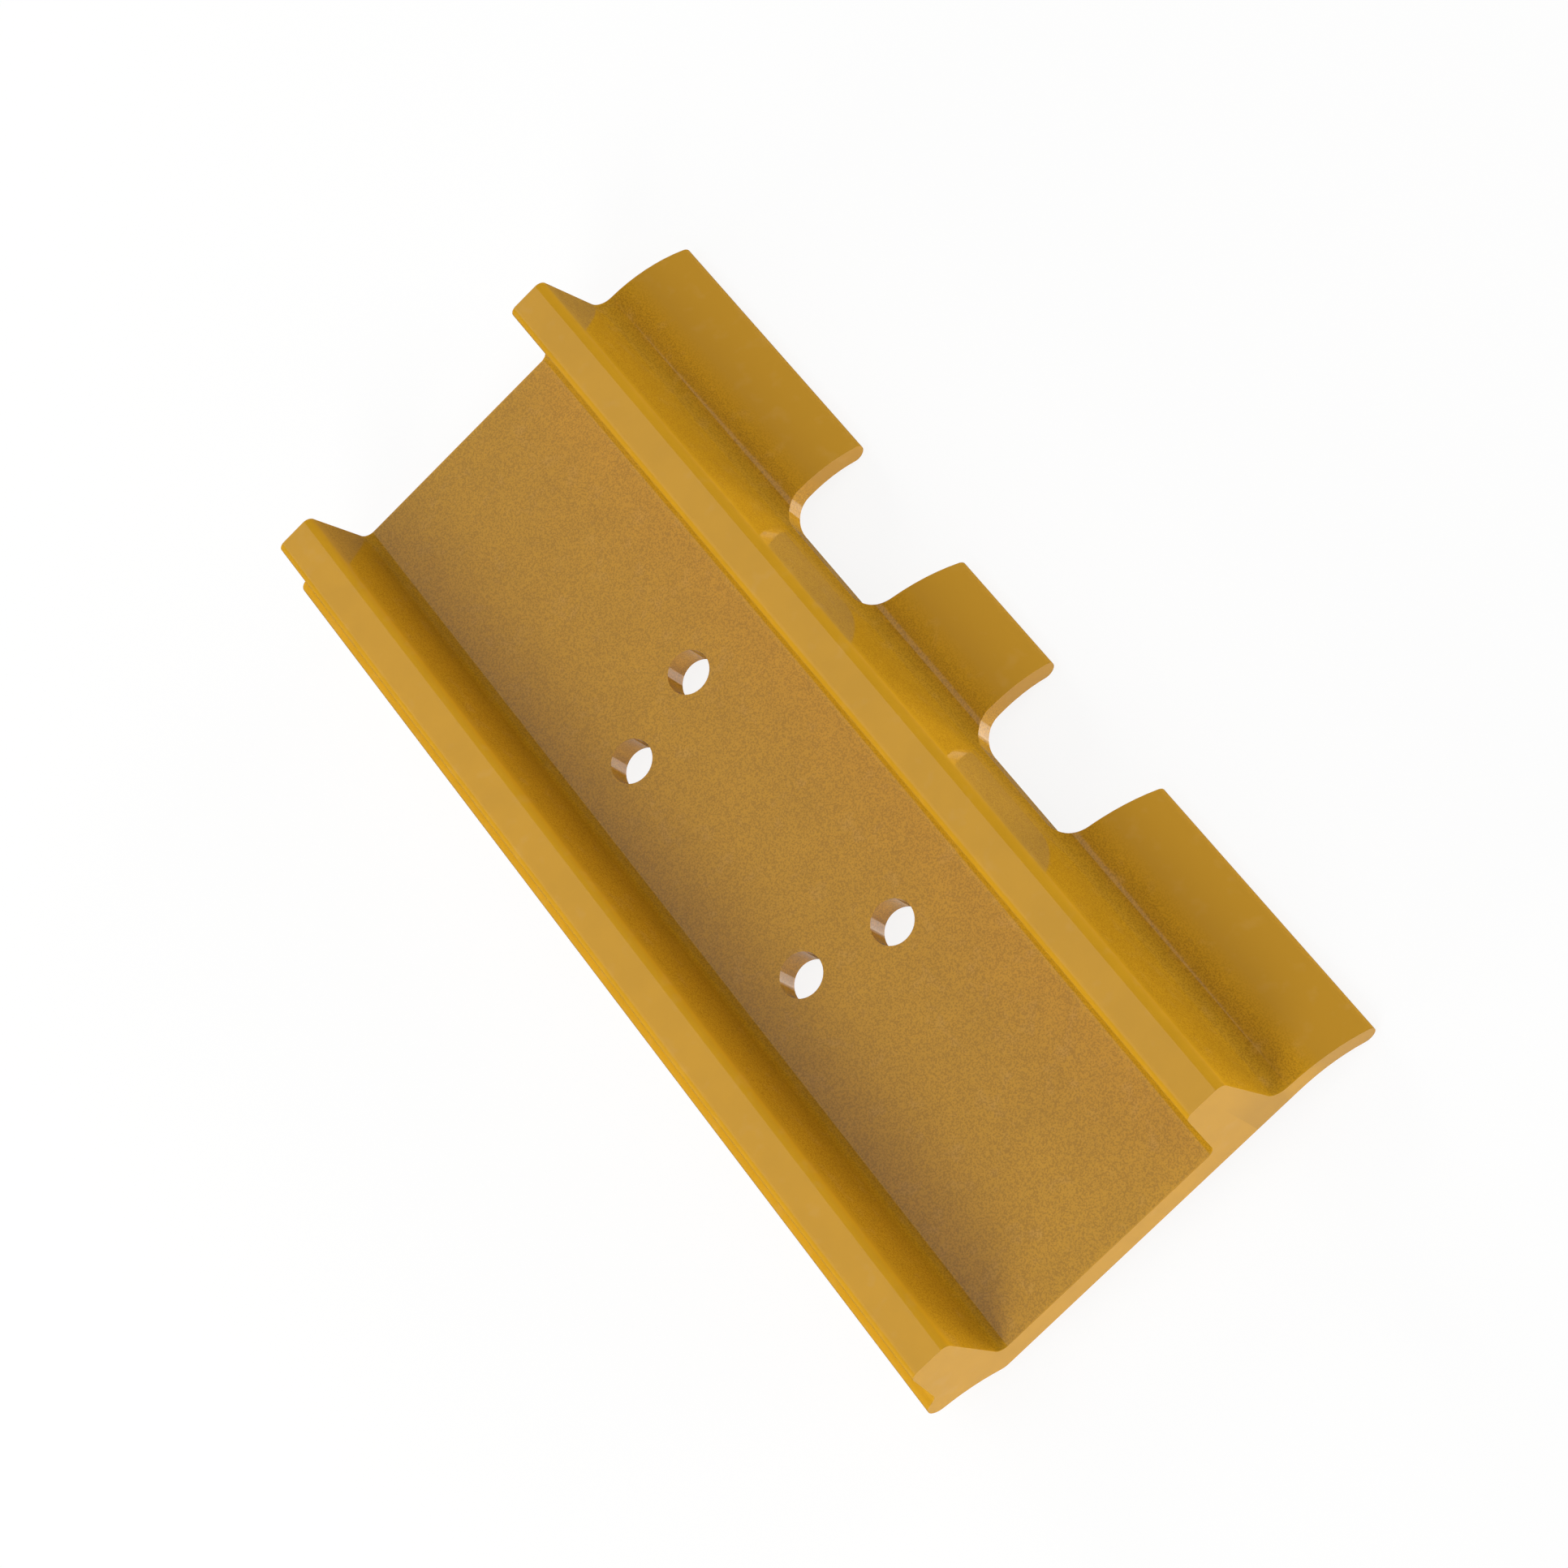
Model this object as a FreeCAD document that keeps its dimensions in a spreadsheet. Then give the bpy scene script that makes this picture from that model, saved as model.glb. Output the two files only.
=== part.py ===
import FreeCAD, Part
import math
import os
import Sketcher

V = FreeCAD.Vector

# Double-grouser track shoe of a crawler excavator, rolled as one bar and cut to length.
# X runs across the track, along the bar. Y points to the notched front lip. Z points to the ground side.
# The origin is the middle of the bolt pattern, on the flat seat that bolts down on the track links.

doc = FreeCAD.newDocument("TrackShoe")

# ---------------------------------------------------------------- driving dimensions, millimetres and degrees
sheet = doc.addObject("Spreadsheet::Sheet", "Dimensions")
sheetRow = [1]


def dimension(alias, value, note):
    row = sheetRow[0]
    sheet.set("A%d" % row, note)
    sheet.set("B%d" % row, str(value))
    sheet.setAlias("B%d" % row, alias)
    sheetRow[0] = row + 1


dimension("shoe_width", 500.0, "cut length of the rolled bar")
dimension("web_thickness", 13.6, "plate between the two grousers")
dimension("grouser_height", 55.3, "link seat to grouser crest")
dimension("grouser_crest", 19.2, "crest width between the flank lines")
dimension("flank_draft", 7.9, "rolling draft of every flank")
dimension("front_grouser_start", 69.3, "bolt centre forward to the front crest")
dimension("rear_grouser_start", 59.1, "bolt centre back to the rear crest")
dimension("crest_radius", 4.0, "rounding of the crest corners")
dimension("root_radius", 5.0, "fillet from the flanks to the web")
dimension("lip_root_radius", 8.0, "fillet from the front flank to the lip")
dimension("lip_height", 10.2, "top of the lip above the link seat")
dimension("lip_top_radius", 62.2, "bend of the lip, upper face")
dimension("lip_reach", 139.85, "bolt centre forward to the lip edge")
dimension("lip_under_radius", 52.4, "bend of the lip, lower face")
dimension("lip_under_start", 102.6, "where the lower bend begins")
dimension("lip_nose_radius", 4.2, "full round of the lip edge")
dimension("heel_radius", 5.8, "round of the rear heel")
dimension("heel_back", 84.3, "heel centre behind the bolt centre")
dimension("heel_height", 18.3, "heel centre above the link seat")
dimension("heel_fillet", 5.0, "fillet from the rear flank to the heel")
dimension("recess_radius", 60.7, "hollow that clears the next shoe's lip")
dimension("recess_depth", 46.9, "hollow centre below the link seat")
dimension("seat_radius", 6.0, "break between the link seat and the hollow")
dimension("bolt_hole", 20.2, "track bolt hole diameter")
dimension("front_pair", 156.3, "spacing of the front bolt pair")
dimension("rear_pair", 132.6, "spacing of the rear bolt pair")
dimension("pair_distance", 43.7, "front pair to rear pair")
dimension("notch_centre", 71.4, "notch centre line from the middle")
dimension("notch_root", 96.6, "bolt centre forward to the notch root")
dimension("notch_root_width", 69.0, "root width between the flank lines")
dimension("notch_flare", 6.0, "flare of each notch side")
dimension("notch_corner", 13.6, "corner radius of the notch")
dimension("notch_reach", 160.0, "outer end of the notch cutter")
doc.recompute()


def cell(alias):
    return float(sheet.get(alias))


width = cell("shoe_width")
web = cell("web_thickness")
crest = cell("grouser_height")
draft = math.radians(cell("flank_draft"))
frontCrest = cell("front_grouser_start")
rearCrest = -cell("rear_grouser_start")
crestWidth = cell("grouser_crest")

body = doc.addObject("PartDesign::Body", "TrackShoeBody")
body.Label = "track_shoe"


def originPlane(role):
    for feature in body.Origin.OriginFeatures:
        if feature.Role == role:
            return feature
    raise RuntimeError("no origin plane " + role)


def newSketch(name, role):
    sketch = body.newObject("Sketcher::SketchObject", name)
    sketch.AttachmentSupport = [(originPlane(role), "")]
    sketch.MapMode = "FlatFace"
    return sketch


def bound(sketch, name, formula, *constraint):
    index = sketch.addConstraint(Sketcher.Constraint(*constraint))
    sketch.renameConstraint(index, name)
    sketch.setExpression("Constraints." + name, formula)


def point(y, z):
    return V(y, z, 0)


def arc(centre, radius, start, end):
    circle = Part.Circle(centre, V(0, 0, 1), radius)
    first = math.atan2(start.y - centre.y, start.x - centre.x)
    last = math.atan2(end.y - centre.y, end.x - centre.x)
    if last < first:
        last += 2 * math.pi
    return Part.ArcOfCircle(circle, first, last)


def toward(start, end, distance):
    return start + (end - start).normalize() * distance


# ---------------------------------------------------------------- where the section's curves meet
# Lip: two bends of nearly one centre, closed by a full round that touches both.
underRadius = cell("lip_under_radius")
topRadius = cell("lip_top_radius")
noseRadius = cell("lip_nose_radius")
noseX = cell("lip_reach") - noseRadius
underCentre = point(cell("lip_under_start"), -underRadius)
noseRise = math.sqrt((underRadius + noseRadius) ** 2 - (noseX - underCentre.x) ** 2)
noseCentre = point(noseX, underCentre.y + noseRise)
topZ = cell("lip_height") - topRadius
topRun = math.sqrt((topRadius - noseRadius) ** 2 - (noseCentre.y - topZ) ** 2)
topCentre = point(noseX - topRun, topZ)
noseUnder = toward(underCentre, noseCentre, underRadius)
noseTop = toward(topCentre, noseCentre, topRadius)

# Front flank of the front grouser, carried down to the lip's upper bend.
frontTop = point(frontCrest + crestWidth, crest)
lean = math.tan(draft)
footZ = cell("lip_height")
for step in range(30):
    footY = frontTop.x + (crest - footZ) * lean
    footZ = topCentre.y + math.sqrt(topRadius ** 2 - (footY - topCentre.x) ** 2)
lipFoot = point(footY, footZ)

# Heel: a round that ends the rear flank and touches the hollow below it.
heelRadius = cell("heel_radius")
recessRadius = cell("recess_radius")
heelCentre = point(-cell("heel_back"), cell("heel_height"))
recessDepth = cell("recess_depth")
offset = math.sqrt((recessRadius + heelRadius) ** 2 - (heelCentre.y + recessDepth) ** 2)
recessCentre = point(heelCentre.x - offset, -recessDepth)
heelUnder = toward(recessCentre, heelCentre, recessRadius)
seatBack = point(recessCentre.x + math.sqrt(recessRadius ** 2 - recessDepth ** 2), 0)
rearTop = point(rearCrest - crestWidth, crest)
heelZ = heelCentre.y + heelRadius
for step in range(30):
    heelY = rearTop.x - (crest - heelZ) * lean
    heelZ = heelCentre.y + math.sqrt(heelRadius ** 2 - (heelY - heelCentre.x) ** 2)
heelTop = point(heelY, heelZ)

seatFront = point(underCentre.x, 0)
frontRear = point(frontCrest, crest)
rearFront = point(rearCrest, crest)
webFront = point(frontCrest - (crest - web) * lean, web)
webRear = point(rearCrest + (crest - web) * lean, web)

# ---------------------------------------------------------------- rolled section
section = newSketch("RolledSection", "YZ_Plane")
(seatLine, lipUnder, lipNose, lipTop, frontFlank, frontCrestLine, frontBack, webLine,
 rearFlank, rearCrestLine, rearBack, heel, recess) = section.addGeometry([
    Part.LineSegment(seatBack, seatFront),
    arc(underCentre, underRadius, noseUnder, seatFront),
    arc(noseCentre, noseRadius, noseUnder, noseTop),
    arc(topCentre, topRadius, noseTop, lipFoot),
    Part.LineSegment(lipFoot, frontTop),
    Part.LineSegment(frontTop, frontRear),
    Part.LineSegment(webFront, frontRear),
    Part.LineSegment(webFront, webRear),
    Part.LineSegment(webRear, rearFront),
    Part.LineSegment(rearFront, rearTop),
    Part.LineSegment(heelTop, rearTop),
    arc(heelCentre, heelRadius, heelTop, heelUnder),
    arc(recessCentre, recessRadius, seatBack, heelUnder),
], False)

section.addConstraint([
    Sketcher.Constraint("Tangent", seatLine, 2, lipUnder, 2),
    Sketcher.Constraint("Tangent", lipUnder, 1, lipNose, 1),
    Sketcher.Constraint("Tangent", lipNose, 2, lipTop, 1),
    Sketcher.Constraint("Coincident", lipTop, 2, frontFlank, 1),
    Sketcher.Constraint("Coincident", frontFlank, 2, frontCrestLine, 1),
    Sketcher.Constraint("Coincident", frontCrestLine, 2, frontBack, 2),
    Sketcher.Constraint("Coincident", frontBack, 1, webLine, 1),
    Sketcher.Constraint("Coincident", webLine, 2, rearFlank, 1),
    Sketcher.Constraint("Coincident", rearFlank, 2, rearCrestLine, 1),
    Sketcher.Constraint("Coincident", rearCrestLine, 2, rearBack, 2),
    Sketcher.Constraint("Coincident", rearBack, 1, heel, 1),
    Sketcher.Constraint("Tangent", heel, 2, recess, 2),
    Sketcher.Constraint("Coincident", recess, 1, seatLine, 1),
    Sketcher.Constraint("PointOnObject", seatLine, 1, -1),
    Sketcher.Constraint("Horizontal", seatLine),
    Sketcher.Constraint("Horizontal", webLine),
    Sketcher.Constraint("Horizontal", frontCrestLine),
    Sketcher.Constraint("Horizontal", rearCrestLine),
])
bound(section, "lipUnderRadius", "Dimensions.lip_under_radius", "Radius", lipUnder, underRadius)
bound(section, "lipUnderStart", "Dimensions.lip_under_start", "DistanceX", -1, 1, lipUnder, 3, underCentre.x)
bound(section, "noseRadius", "Dimensions.lip_nose_radius", "Radius", lipNose, noseRadius)
bound(section, "lipTopRadius", "Dimensions.lip_top_radius", "Radius", lipTop, topRadius)
bound(section, "lipReach", "Dimensions.lip_reach - Dimensions.lip_nose_radius",
      "DistanceX", -1, 1, lipNose, 3, noseX)
bound(section, "lipTopDrop", "Dimensions.lip_top_radius - Dimensions.lip_height",
      "DistanceY", lipTop, 3, -1, 1, -topCentre.y)
bound(section, "frontFlankAngle", "90 deg + Dimensions.flank_draft * 1 deg",
      "Angle", frontFlank, math.pi / 2 + draft)
bound(section, "frontBackAngle", "90 deg - Dimensions.flank_draft * 1 deg",
      "Angle", frontBack, math.pi / 2 - draft)
bound(section, "rearFlankAngle", "90 deg + Dimensions.flank_draft * 1 deg",
      "Angle", rearFlank, math.pi / 2 + draft)
bound(section, "rearBackAngle", "90 deg - Dimensions.flank_draft * 1 deg",
      "Angle", rearBack, math.pi / 2 - draft)
bound(section, "crestHeight", "Dimensions.grouser_height", "DistanceY", -1, 1, frontBack, 2, crest)
bound(section, "rearCrestHeight", "Dimensions.grouser_height", "DistanceY", -1, 1, rearFlank, 2, crest)
bound(section, "webHeight", "Dimensions.web_thickness", "DistanceY", -1, 1, webLine, 1, web)
bound(section, "frontStart", "Dimensions.front_grouser_start", "DistanceX", -1, 1, frontBack, 2, frontCrest)
bound(section, "rearStart", "Dimensions.rear_grouser_start", "DistanceX", rearFlank, 2, -1, 1, -rearCrest)
bound(section, "frontCrestWidth", "Dimensions.grouser_crest",
      "DistanceX", frontBack, 2, frontFlank, 2, crestWidth)
bound(section, "rearCrestWidth", "Dimensions.grouser_crest",
      "DistanceX", rearBack, 2, rearFlank, 2, crestWidth)
bound(section, "heelRadius", "Dimensions.heel_radius", "Radius", heel, heelRadius)
bound(section, "heelBack", "Dimensions.heel_back", "DistanceX", heel, 3, -1, 1, -heelCentre.x)
bound(section, "heelHeight", "Dimensions.heel_height", "DistanceY", -1, 1, heel, 3, heelCentre.y)
bound(section, "recessRadius", "Dimensions.recess_radius", "Radius", recess, recessRadius)
bound(section, "recessDepth", "Dimensions.recess_depth", "DistanceY", recess, 3, -1, 1, recessDepth)
doc.recompute()
print("section: free directions", section.solve(), len(section.Constraints), "constraints")

bar = body.newObject("PartDesign::Pad", "RolledBar")
bar.Profile = section
bar.SideType = "Symmetric"
bar.setExpression("Length", "Dimensions.shoe_width")
doc.recompute()


# ---------------------------------------------------------------- rolling radii, one fillet for each size
def edgesThrough(feature, places):
    names = []
    for place in places:
        for number, edge in enumerate(feature.Shape.Edges, 1):
            box = edge.BoundBox
            if box.XLength < width - 1:
                continue
            if abs(box.Center.y - place.x) < 0.05 and abs(box.Center.z - place.y) < 0.05:
                names.append("Edge%d" % number)
                break
        else:
            raise RuntimeError("no edge at %.2f, %.2f" % (place.x, place.y))
    return names


def fillet(name, base, places, alias):
    feature = body.newObject("PartDesign::Fillet", name)
    feature.Base = (base, edgesThrough(base, places))
    feature.setExpression("Radius", "Dimensions." + alias)
    doc.recompute()
    return feature


crests = fillet("CrestRounds", bar, [frontTop, frontRear, rearFront, rearTop], "crest_radius")
webRoots = fillet("WebRoots", crests, [webFront, webRear], "root_radius")
lipRoot = fillet("LipRoot", webRoots, [lipFoot], "lip_root_radius")
heelRoot = fillet("HeelRoot", lipRoot, [heelTop], "heel_fillet")
seatBreak = fillet("SeatBreak", heelRoot, [seatBack], "seat_radius")

# ---------------------------------------------------------------- link notch through the front lip
notchCentre = cell("notch_centre")
notchRoot = cell("notch_root")
notchReach = cell("notch_reach")
corner = cell("notch_corner")
flare = math.radians(cell("notch_flare"))
halfRoot = cell("notch_root_width") / 2
# The corner arc touches the root line and the flared side.
inset = corner * math.tan((math.pi / 2 - flare) / 2)
halfReach = halfRoot + (notchReach - notchRoot) * math.tan(flare)


def notchPoint(sign, x, y):
    return V(notchCentre + sign * x, y, 0)


def sideStart(sign):
    return notchPoint(sign, halfRoot + inset * math.sin(flare), notchRoot + inset * math.cos(flare))


notch = newSketch("LinkNotch", "XY_Plane")
rootLeft = notchPoint(-1, halfRoot - inset, notchRoot)
rootRight = notchPoint(1, halfRoot - inset, notchRoot)
cornerRight = notchPoint(1, halfRoot - inset, notchRoot + corner)
cornerLeft = notchPoint(-1, halfRoot - inset, notchRoot + corner)
(rootLine, rightArc, rightSide, outerLine, leftSide, leftArc) = notch.addGeometry([
    Part.LineSegment(rootLeft, rootRight),
    arc(cornerRight, corner, rootRight, sideStart(1)),
    Part.LineSegment(sideStart(1), notchPoint(1, halfReach, notchReach)),
    Part.LineSegment(notchPoint(1, halfReach, notchReach), notchPoint(-1, halfReach, notchReach)),
    Part.LineSegment(sideStart(-1), notchPoint(-1, halfReach, notchReach)),
    arc(cornerLeft, corner, sideStart(-1), rootLeft),
], False)
notch.addConstraint([
    Sketcher.Constraint("Tangent", rootLine, 2, rightArc, 1),
    Sketcher.Constraint("Tangent", rightArc, 2, rightSide, 1),
    Sketcher.Constraint("Coincident", rightSide, 2, outerLine, 1),
    Sketcher.Constraint("Coincident", outerLine, 2, leftSide, 2),
    Sketcher.Constraint("Tangent", leftSide, 1, leftArc, 1),
    Sketcher.Constraint("Tangent", leftArc, 2, rootLine, 1),
    Sketcher.Constraint("Horizontal", rootLine),
    Sketcher.Constraint("Horizontal", outerLine),
    Sketcher.Constraint("Equal", rightArc, leftArc),
])
reachFormula = "Dimensions.notch_root_width / 2 + (Dimensions.notch_reach - Dimensions.notch_root)" \
               " * tan(Dimensions.notch_flare * 1 deg)"
bound(notch, "rootHeight", "Dimensions.notch_root", "DistanceY", -1, 1, rootLine, 1, notchRoot)
bound(notch, "reach", "Dimensions.notch_reach", "DistanceY", -1, 1, outerLine, 1, notchReach)
bound(notch, "cornerRadius", "Dimensions.notch_corner", "Radius", rightArc, corner)
bound(notch, "rightFlare", "90 deg - Dimensions.notch_flare * 1 deg", "Angle", rightSide, math.pi / 2 - flare)
bound(notch, "leftFlare", "90 deg + Dimensions.notch_flare * 1 deg", "Angle", leftSide, math.pi / 2 + flare)
bound(notch, "rightReach", "Dimensions.notch_centre + " + reachFormula,
      "DistanceX", -1, 1, rightSide, 2, notchCentre + halfReach)
bound(notch, "outerWidth", "2 * (" + reachFormula + ")",
      "DistanceX", leftSide, 2, rightSide, 2, 2 * halfReach)
doc.recompute()

notchCut = body.newObject("PartDesign::Pocket", "LinkNotchCut")
notchCut.Profile = notch
notchCut.Type = "ThroughAll"
notchCut.SideType = "Symmetric"
doc.recompute()

# ---------------------------------------------------------------- track bolt holes, a wide and a narrow pair
holes = newSketch("BoltHoleCentres", "XY_Plane")
holeRadius = cell("bolt_hole") / 2
frontX = cell("front_pair") / 2
rearX = cell("rear_pair") / 2
rowY = cell("pair_distance") / 2
frontHole, rearHole = holes.addGeometry([
    Part.Circle(V(frontX, rowY, 0), V(0, 0, 1), holeRadius),
    Part.Circle(V(rearX, -rowY, 0), V(0, 0, 1), holeRadius),
], False)
holes.setExpression("AttachmentOffset.Base.z", "Dimensions.web_thickness")
holes.addConstraint(Sketcher.Constraint("Equal", frontHole, rearHole))
bound(holes, "holeSize", "Dimensions.bolt_hole", "Diameter", frontHole, 2 * holeRadius)
bound(holes, "frontHalf", "Dimensions.front_pair / 2", "DistanceX", -1, 1, frontHole, 3, frontX)
bound(holes, "rearHalf", "Dimensions.rear_pair / 2", "DistanceX", -1, 1, rearHole, 3, rearX)
bound(holes, "frontRow", "Dimensions.pair_distance / 2", "DistanceY", -1, 1, frontHole, 3, rowY)
bound(holes, "rearRow", "Dimensions.pair_distance / 2", "DistanceY", rearHole, 3, -1, 1, rowY)
doc.recompute()

boltHoles = body.newObject("PartDesign::Hole", "BoltHoles")
boltHoles.Profile = holes
doc.recompute()
boltHoles.Threaded = False
boltHoles.HoleCutType = "None"
boltHoles.DepthType = "ThroughAll"
boltHoles.DrillPoint = "Flat"
boltHoles.setExpression("Diameter", "Dimensions.bolt_hole")
doc.recompute()

# The other half of the shoe has the same notch and holes.
otherHalf = body.newObject("PartDesign::Mirrored", "OtherHalf")
otherHalf.Originals = [notchCut, boltHoles]
otherHalf.MirrorPlane = (originPlane("YZ_Plane"), [""])
body.Tip = otherHalf
doc.recompute()

# ---------------------------------------------------------------- checks before anything is written
for item in doc.Objects:
    if "Invalid" in item.State or "Error" in item.State:
        raise RuntimeError(item.Name + " failed: " + ", ".join(item.State))
barVolume = seatBreak.Shape.Volume
notchVolume = barVolume - notchCut.Shape.Volume
holeVolume = notchCut.Shape.Volume - boltHoles.Shape.Volume
wantedHoles = 2 * math.pi * holeRadius ** 2 * web
if notchVolume < 1000:
    raise RuntimeError("the notch cut nothing")
if abs(holeVolume - wantedHoles) > 0.01 * wantedHoles:
    raise RuntimeError("bolt holes took %.0f mm3, not %.0f" % (holeVolume, wantedHoles))
twoSides = barVolume - 2 * (notchVolume + holeVolume)
shape = body.Shape
if shape.isNull() or not shape.isValid() or len(shape.Solids) != 1:
    raise RuntimeError("the shoe is not one valid solid")
if abs(shape.Volume - twoSides) > 1:
    raise RuntimeError("the mirrored half is missing")
print("shoe: %.0f cm3, box %s" % (shape.Volume / 1000, shape.BoundBox))

os.makedirs("parts", exist_ok=True)
shape.exportStep("parts/%s.step" % body.Label)
print("parts/%s.step written" % body.Label)
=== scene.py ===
import math
import bpy
from mathutils import Euler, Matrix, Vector


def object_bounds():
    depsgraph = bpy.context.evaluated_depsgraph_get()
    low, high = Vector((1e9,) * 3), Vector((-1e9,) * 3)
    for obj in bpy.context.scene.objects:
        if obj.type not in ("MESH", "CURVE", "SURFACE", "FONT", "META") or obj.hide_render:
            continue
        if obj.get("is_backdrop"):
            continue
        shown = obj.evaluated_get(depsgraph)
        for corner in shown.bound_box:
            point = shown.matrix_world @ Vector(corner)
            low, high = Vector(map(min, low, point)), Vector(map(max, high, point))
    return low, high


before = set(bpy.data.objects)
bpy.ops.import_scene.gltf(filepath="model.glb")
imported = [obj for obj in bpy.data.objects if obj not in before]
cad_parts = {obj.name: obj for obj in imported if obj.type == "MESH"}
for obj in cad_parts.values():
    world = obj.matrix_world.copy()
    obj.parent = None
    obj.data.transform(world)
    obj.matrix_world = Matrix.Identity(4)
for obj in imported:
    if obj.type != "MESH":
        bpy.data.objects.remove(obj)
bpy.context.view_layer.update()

mmPerMetre = 1000.0
print("stage: frame loaded", sorted(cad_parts))


def linearColour(hexText):
    channels = [int(hexText[i:i + 2], 16) / 255 for i in (1, 3, 5)]
    linear = [c / 12.92 if c <= 0.04045 else ((c + 0.055) / 1.055) ** 2.4 for c in channels]
    return (*linear, 1.0)


def addNode(tree, kind, settings=None, links=None):
    node = tree.nodes.new(kind)
    for name, value in (settings or {}).items():
        if isinstance(name, int) or name in node.inputs:  # a number or a name of an input socket
            node.inputs[name].default_value = value
        else:
            setattr(node, name, value)
    for name, source in (links or {}).items():
        tree.links.new(source, node.inputs[name])
    return node


cameraSettings = {
    "location": (0.919535, 0.305390, 1.576132),
    "turn": (17.68507, 26.79909, 52.23634),
    "lens": 100.413,
    "sensor": 36.0,
    "clip": (0.05, 50.0),
}


def makeCamera(s):
    data = bpy.data.cameras.new("productCamera")
    data.type = "PERSP"
    data.sensor_width = s["sensor"]
    data.lens = s["lens"]
    data.clip_start, data.clip_end = s["clip"]
    camera = bpy.data.objects.new("productCamera", data)
    camera.location = s["location"]
    camera.rotation_euler = Euler([math.radians(a) for a in s["turn"]], "XYZ")
    bpy.context.scene.collection.objects.link(camera)
    bpy.context.scene.camera = camera
    bpy.context.scene.view_settings.view_transform = "Standard"


makeCamera(cameraSettings)
print("stage: camera ready")

# A pale floor in a dim room. A wide soft box hangs overhead, and round ones stand low at the sides.
# The boxes under the floor light the holes and the notch walls: the floor lets them through.
studioSettings = {
    "floorColour": "#F2F2F0",
    "floorRadius": 6.0,
    "floorSides": 96,
    "floorGap": 0.0002,
    "seenWhite": 0.88,  # white share for straight rays, and the rest is the floor with its shadow
    "glossWhite": 0.05,  # white share for mirror rays, which see the room and not the floor
    "roomColour": "#FFFFFF",
    "roomLevel": 0.04,
    "lampDistance": 2.6,
    "panels": {
        "overheadPanel": {"middle": (-0.7, -1.4, 2.2), "size": (3.6, 3.0), "watts": 26.0},
        "underPanel": {"middle": (0.75, -0.2, -2.0), "size": (2.2, 3.0), "watts": 10.5},
    },
    "lamps": {
        "nearSideLamp": {"azimuth": 45.0, "elevation": 12.0, "size": 1.2, "watts": 20.0},
        "frontLamp": {"azimuth": 90.0, "elevation": 11.0, "size": 1.2, "watts": 36.0},
        "farSideLamp": {"azimuth": 180.0, "elevation": 12.0, "size": 1.2, "watts": 52.0},
        "backLamp": {"azimuth": 270.0, "elevation": 12.0, "size": 1.2, "watts": 36.0},
        "backSideLamp": {"azimuth": 315.0, "elevation": 35.0, "size": 1.2, "watts": 30.0},
        "underLamp": {"azimuth": 72.0, "elevation": -59.0, "size": 1.2, "watts": 5.0},
        "underFill": {"azimuth": 40.0, "elevation": -62.0, "size": 2.4, "watts": 110.0,
                      "mirrored": False},
        "overheadFill": {"azimuth": 275.0, "elevation": 76.0, "size": 2.4, "watts": 15.0,
                         "mirrored": False},
    },
}


def seenShare(tree, s):
    path = addNode(tree, "ShaderNodeLightPath")
    gloss = addNode(tree, "ShaderNodeMath", {"operation": "MULTIPLY", 1: s["glossWhite"]},
                    {0: path.outputs["Is Glossy Ray"]})
    straight = addNode(tree, "ShaderNodeMath", {"operation": "MAXIMUM"},
                       {0: path.outputs["Is Camera Ray"], 1: path.outputs["Is Transmission Ray"]})
    straightShare = addNode(tree, "ShaderNodeMath", {"operation": "MULTIPLY", 1: s["seenWhite"]},
                            {0: straight.outputs[0]})
    return addNode(tree, "ShaderNodeMath", {"operation": "MAXIMUM"},
                   {0: straightShare.outputs[0], 1: gloss.outputs[0]}).outputs[0]


def makeFloor(s):
    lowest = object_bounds()[0].z
    bpy.ops.mesh.primitive_circle_add(vertices=s["floorSides"], radius=s["floorRadius"],
                                      fill_type="NGON", location=(0, 0, lowest - s["floorGap"]))
    floor = bpy.context.object
    floor.name = "studioFloor"
    material = bpy.data.materials.new("paleFloor")
    material.use_nodes = True
    tree = material.node_tree
    tree.nodes.clear()
    lit = addNode(tree, "ShaderNodeBsdfDiffuse", {"Color": linearColour(s["floorColour"])})
    white = addNode(tree, "ShaderNodeEmission", {"Color": (1, 1, 1, 1), "Strength": 1.0})
    mix = addNode(tree, "ShaderNodeMixShader", None,
                  {0: seenShare(tree, s), 1: lit.outputs[0], 2: white.outputs[0]})
    addNode(tree, "ShaderNodeOutputMaterial", None, {"Surface": mix.outputs[0]})
    floor.data.materials.append(material)
    floor.visible_shadow = False  # the boxes under the floor shine through it
    floor.visible_glossy = False  # the paint mirrors the dim room below, not the floor
    floor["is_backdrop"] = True


def makeRoom(s):
    world = bpy.data.worlds.new("studioRoom")
    world.use_nodes = True
    tree = world.node_tree
    tree.nodes.clear()
    room = addNode(tree, "ShaderNodeBackground",
                   {"Color": linearColour(s["roomColour"]), "Strength": s["roomLevel"]})
    white = addNode(tree, "ShaderNodeBackground", {"Color": (1, 1, 1, 1), "Strength": 1.0})
    mix = addNode(tree, "ShaderNodeMixShader", None,
                  {0: seenShare(tree, s), 1: room.outputs[0], 2: white.outputs[0]})
    addNode(tree, "ShaderNodeOutputWorld", None, {"Surface": mix.outputs[0]})
    bpy.context.scene.world = world


def addLight(name, shape, size, watts, place, facing, mirrored=True):
    data = bpy.data.lights.new(name, "AREA")
    data.shape = shape
    data.size = size[0]
    data.size_y = size[1]
    data.energy = watts
    light = bpy.data.objects.new(name, data)
    light.location = place
    light.rotation_euler = facing.to_track_quat("Z", "Y").to_euler()
    light.visible_camera = False
    light.visible_glossy = mirrored
    bpy.context.scene.collection.objects.link(light)


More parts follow.
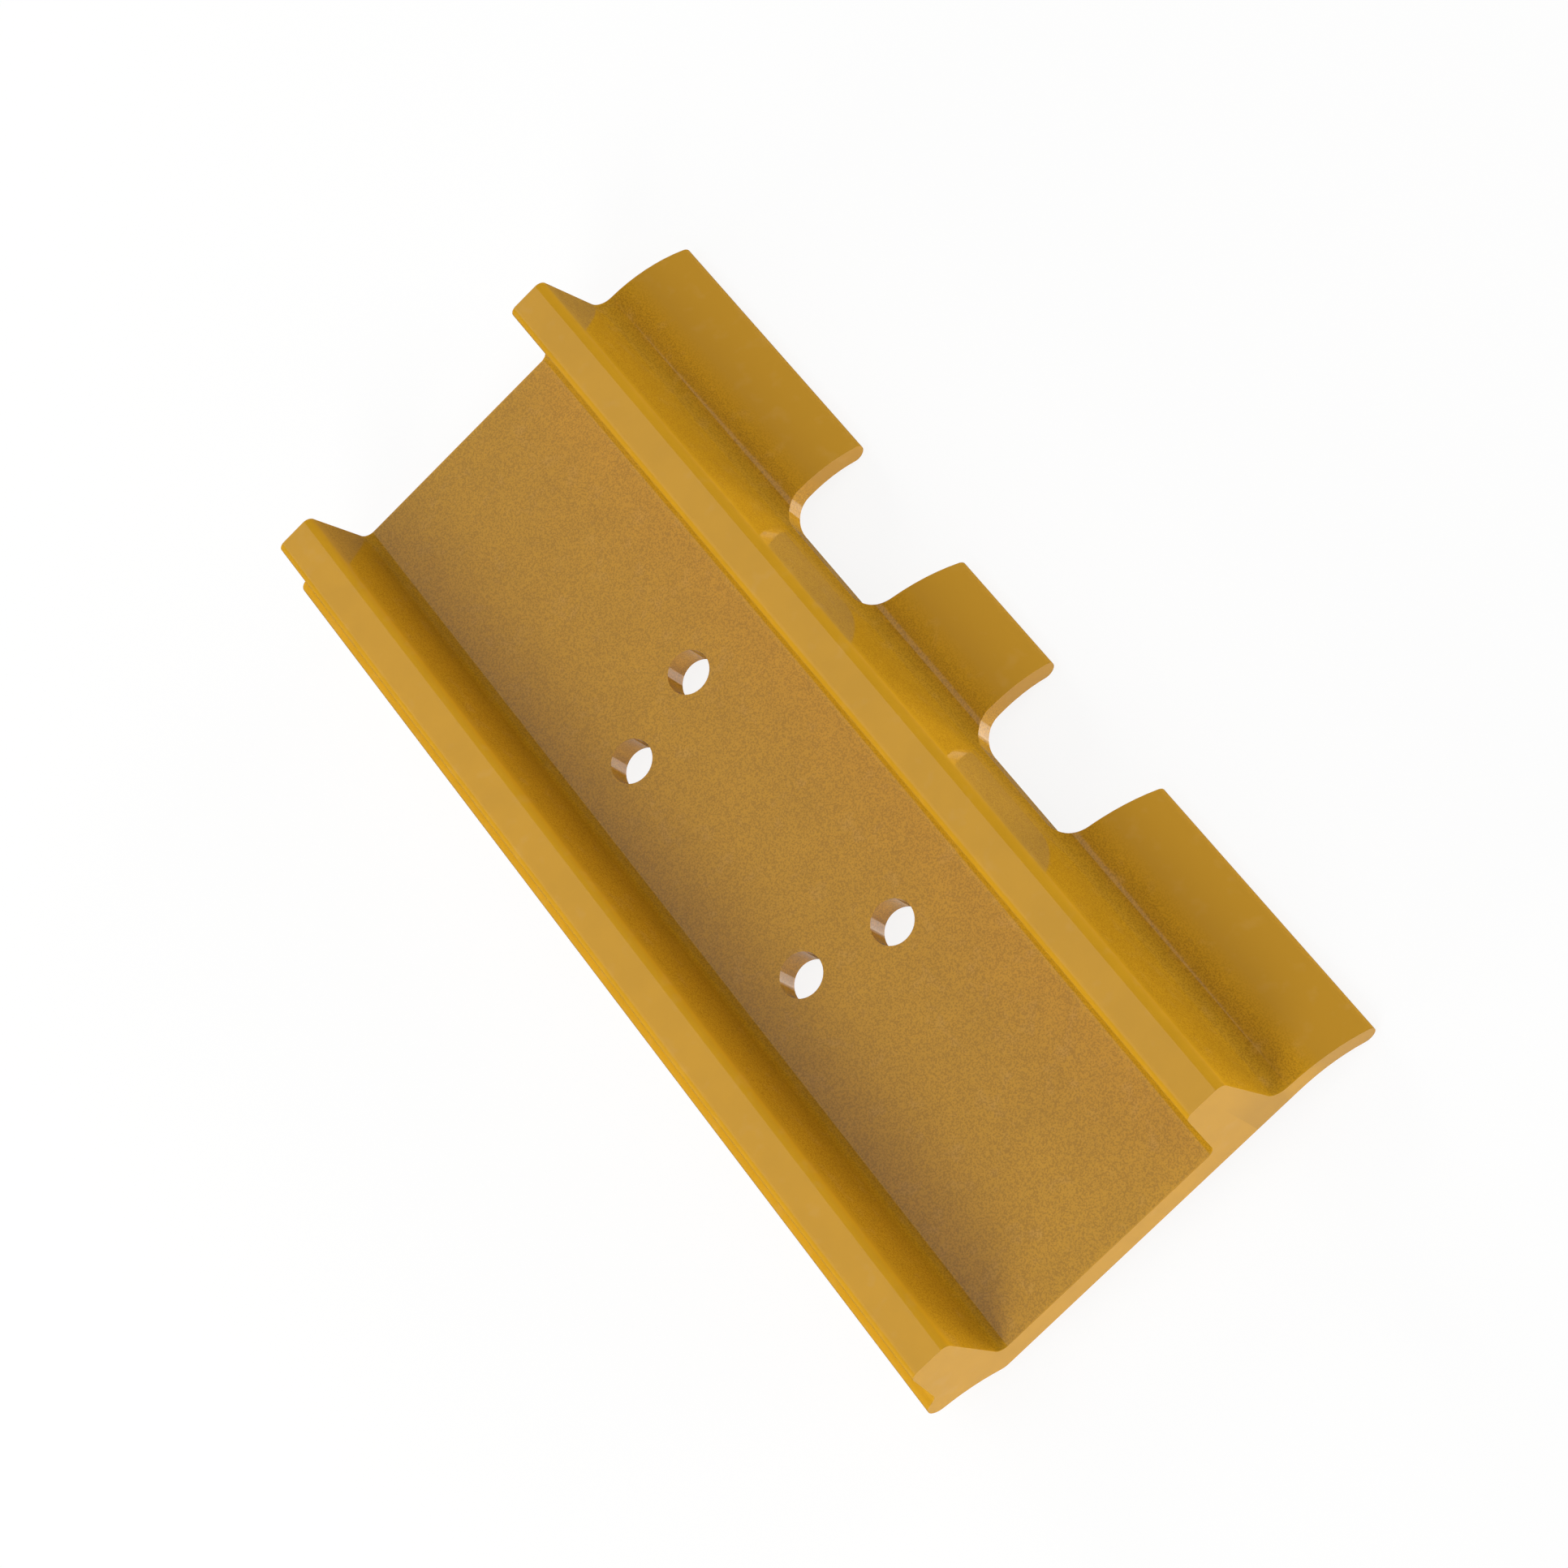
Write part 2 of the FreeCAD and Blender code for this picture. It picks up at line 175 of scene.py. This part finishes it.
def makeLamp(name, lamp, distance):
    azimuth, elevation = math.radians(lamp["azimuth"]), math.radians(lamp["elevation"])
    away = Vector((math.cos(azimuth) * math.cos(elevation),
                   math.sin(azimuth) * math.cos(elevation),
                   math.sin(elevation)))
    addLight(name, "DISK", (lamp["size"], lamp["size"]), lamp["watts"], away * distance, away,
             lamp.get("mirrored", True))


makeFloor(studioSettings)
makeRoom(studioSettings)
for panelName, panel in studioSettings["panels"].items():
    facing = Vector((0, 0, math.copysign(1, panel["middle"][2])))  # its back, away from the shoe
    addLight(panelName, "RECTANGLE", panel["size"], panel["watts"], panel["middle"], facing)
for lampName, lampValues in studioSettings["lamps"].items():
    makeLamp(lampName, lampValues, studioSettings["lampDistance"])
print("stage: studio ready")

# One pack enamel over rolled steel, sprayed and baked: a smooth glossy ochre skin, clearer at low
# angles, with faint clouds, a paler haze and slight orange peel. Painted shade darkens the lip,
# the recess between the grousers (as a fine dark grain) and the foot of the front grouser.
paintSettings = {
    "enamelColour": "#C18E1B",
    "thickCoatColour": "#BD8B1A",
    # painted shade: the lip turns to this darker colour, standing in for shade on the lip
    "lipShadeColour": "#B38425",
    "hazeColour": "#C79E5C",
    # painted shade: a fine dark grain standing in for shade in the recess between the grousers
    "shadeGrainColour": "#7E5408",
    # painted shade at the front grouser's foot, darker towards the bottom of the flank
    "footShadeColour": "#6B4A08",
    "ior": 1.5,
    "gloss": 0.07,  # roughness of the clean coat
    "hazeGloss": 0.14,  # roughness where the haze is full
    "cloudMm": 16.0,
    "cloudLimits": (0.35, 0.65),
    "hazeMm": 9.0,
    "hazeLimits": (0.58, 0.74),
    "hazeShare": 0.12,
    "shadeGrainMm": 0.7,  # painted shade grain; the grain seen is about 0.3 mm, and is drawn coarser so that it shows
    "shadeGrainLimits": (0.42, 0.62),
    "shadeGrainShare": 0.45,
    "shadeGrainBackMm": (-74.0, -66.0),
    "shadeGrainFrontMm": (108.0, 118.0),
    "shadeGrainTopMm": (47.0, 52.0),
    "shadeGrainEndMm": 249.5,
    "lipShadeMm": (110.0, 118.0),
    "footShadeBackMm": 80.0,
    "footShadeFrontMm": (97.0, 101.0),
    "footShadeTopMm": (13.0, 40.0),
    "footShadeShare": 0.17,
    "peelMm": 2.4,
    "peelDepthMm": 0.004,
    "detail": {"cloud": 3.0, "haze": 2.0, "shadeGrain": 1.0, "peel": 1.0},
}


def makePaint(s):
    material = bpy.data.materials.new("bakedOchreEnamel")
    material.use_nodes = True
    tree = material.node_tree
    tree.nodes.clear()
    place = addNode(tree, "ShaderNodeTexCoord")
    where = {"Vector": place.outputs["Object"]}
    axes = addNode(tree, "ShaderNodeSeparateXYZ", None, where)

    noise = {}
    for name, detail in s["detail"].items():
        texture = addNode(tree, "ShaderNodeTexNoise",
                          {"Scale": mmPerMetre / s[name + "Mm"], "Detail": detail}, where)
        noise[name] = texture.outputs["Fac"]

    # each share rises from its first value to its second between the two limits
    share = {}
    for name, source, limits, first, second in (
            ("cloud", noise["cloud"], s["cloudLimits"], 0.0, 1.0),
            ("haze", noise["haze"], s["hazeLimits"], 0.0, s["hazeShare"]),
            ("shadeGrain", noise["shadeGrain"], s["shadeGrainLimits"], 0.0, s["shadeGrainShare"])):
        ramp = addNode(tree, "ShaderNodeMapRange",
                       {"From Min": limits[0], "From Max": limits[1],
                        "To Min": first, "To Max": second}, {"Value": source})
        share[name] = ramp.outputs[0]
    for name, axis, limitsMm, first, second in (
            ("shadeGrainBack", "Y", s["shadeGrainBackMm"], 0.0, 1.0),
            ("shadeGrainFront", "Y", s["shadeGrainFrontMm"], 1.0, 0.0),
            ("shadeGrainTop", "Z", s["shadeGrainTopMm"], 1.0, 0.0),
            ("lipShade", "Y", s["lipShadeMm"], 0.0, 1.0),
            # painted shade band along the front grouser's foot, fading upwards
            ("footShadeFront", "Y", s["footShadeFrontMm"], 1.0, 0.0),
            ("footShadeTop", "Z", s["footShadeTopMm"], s["footShadeShare"], 0.0)):
        ramp = addNode(tree, "ShaderNodeMapRange",
                       {"From Min": limitsMm[0] / mmPerMetre, "From Max": limitsMm[1] / mmPerMetre,
                        "To Min": first, "To Max": second}, {"Value": axes.outputs[axis]})
        share[name] = ramp.outputs[0]
    side = addNode(tree, "ShaderNodeMath", {"operation": "ABSOLUTE"}, {0: axes.outputs["X"]})
    inside = addNode(tree, "ShaderNodeMath",
                     {"operation": "LESS_THAN", 1: s["shadeGrainEndMm"] / mmPerMetre}, {0: side.outputs[0]})
    share["shadeGrainEnd"] = inside.outputs[0]
    past = addNode(tree, "ShaderNodeMath",
                   {"operation": "GREATER_THAN", 1: s["footShadeBackMm"] / mmPerMetre}, {0: axes.outputs["Y"]})
    share["footShadeBack"] = past.outputs[0]

    # the painted shade grain is held to the recess, and the painted shade band to the front grouser's
    # foot
    for name, edges in (("shadeGrain", ("shadeGrainFront", "shadeGrainTop", "shadeGrainBack", "shadeGrainEnd")),
                        ("footShadeTop", ("footShadeFront", "footShadeBack"))):
        for edge in edges:
            both = addNode(tree, "ShaderNodeMath", {"operation": "MULTIPLY"},
                           {0: share[name], 1: share[edge]})
            share[name] = both.outputs[0]

    coat = addNode(tree, "ShaderNodeMix",
                   {"data_type": "RGBA", 6: linearColour(s["enamelColour"]),
                    7: linearColour(s["thickCoatColour"])}, {0: share["cloud"]})
    colour = coat.outputs[2]
    # painted shade on the lip, painted shade grain and painted shade at the grouser's foot go over the
    # coat
    for colourName, name in (("lipShadeColour", "lipShade"), ("hazeColour", "haze"),
                             ("shadeGrainColour", "shadeGrain"), ("footShadeColour", "footShadeTop")):
        layer = addNode(tree, "ShaderNodeMix", {"data_type": "RGBA", 7: linearColour(s[colourName])},
                        {0: share[name], 6: colour})
        colour = layer.outputs[2]

    gloss = addNode(tree, "ShaderNodeMapRange",
                    {"From Max": s["hazeShare"], "To Min": s["gloss"], "To Max": s["hazeGloss"]},
                    {"Value": share["haze"]})
    bump = addNode(tree, "ShaderNodeBump",
                   {"Strength": 1.0, "Distance": s["peelDepthMm"] / mmPerMetre},
                   {"Height": noise["peel"]})
    shader = addNode(tree, "ShaderNodeBsdfPrincipled", {"IOR": s["ior"]},
                     {"Base Color": colour, "Roughness": gloss.outputs[0],
                      "Normal": bump.outputs["Normal"]})
    addNode(tree, "ShaderNodeOutputMaterial", None, {"Surface": shader.outputs[0]})
    return material


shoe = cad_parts["track_shoe"]
shoe.data.materials.clear()
shoe.data.materials.append(makePaint(paintSettings))
print("stage: paint ready")
